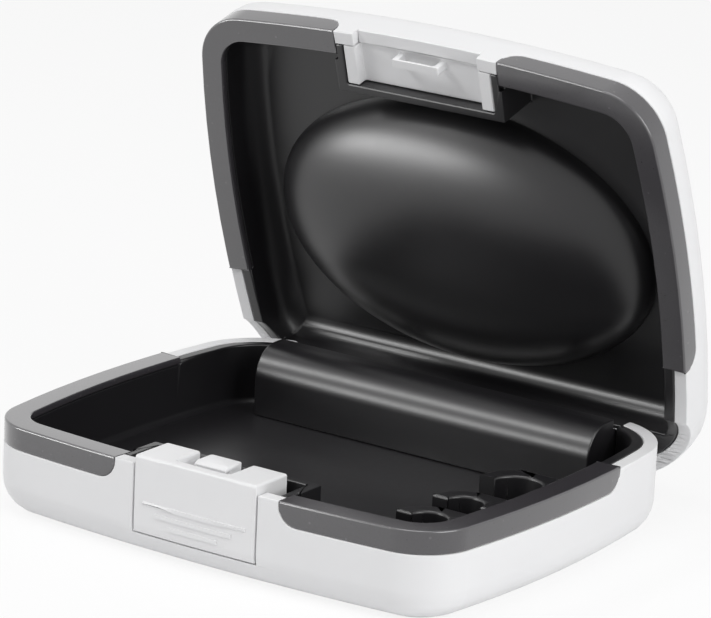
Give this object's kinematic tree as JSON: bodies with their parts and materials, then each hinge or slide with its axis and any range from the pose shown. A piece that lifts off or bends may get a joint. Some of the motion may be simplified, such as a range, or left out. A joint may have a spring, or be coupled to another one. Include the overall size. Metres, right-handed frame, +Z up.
{
  "type": "hearing aid case",
  "caption": "White rounded hard case for hearing aids, standing open, with a black lining, soft grey rim bands, a press latch and a cell holder inside.",
  "frame": {"origin": "middle of the flat underside of the base", "axes": "+X to the right of someone facing the latch, +Y to the hinge at the back, +Z up"},
  "size_m": [0.096, 0.0896, 0.0806],
  "materials": {
    "shell_white": "satin",
    "liner_black": "satin",
    "bumper_grey": "matte",
    "steel": "brushed"
  },
  "bodies": {
    "base": {"base_shell": "shell_white", "base_liner": "liner_black", "base_bumper_left": "bumper_grey", "base_bumper_right": "bumper_grey", "hinge_cover": "liner_black", "hinge_pin_left": "steel", "hinge_pin_right": "steel", "friction_washer_left": "steel", "friction_washer_right": "steel", "latch_pin": "steel", "latch_spring": "steel", "cell_holder": "liner_black"},
    "lid": {"lid_shell": "shell_white", "lid_liner": "liner_black", "lid_bumper_left": "bumper_grey", "lid_bumper_right": "bumper_grey", "catch_plate": "shell_white", "hinge_arm_left": "liner_black", "hinge_arm_right": "liner_black"},
    "button": {"latch_button": "shell_white"}
  },
  "joints": [
    {"name": "lid_hinge", "type": "hinge", "parent": "base", "child": "lid", "pos_m": [0, 0.0319, 0.0091], "axis": [-1, 0, 0], "range_deg": [-73, 10]},
    {"name": "latch_press", "type": "hinge", "parent": "base", "child": "button", "pos_m": [0, -0.036, 0.0057], "axis": [-1, 0, 0], "range_deg": [0, 5], "stiffness_Nm_per_rad": 0.5, "springref_deg": -5.73, "deforming": ["latch_spring"]}
  ]
}
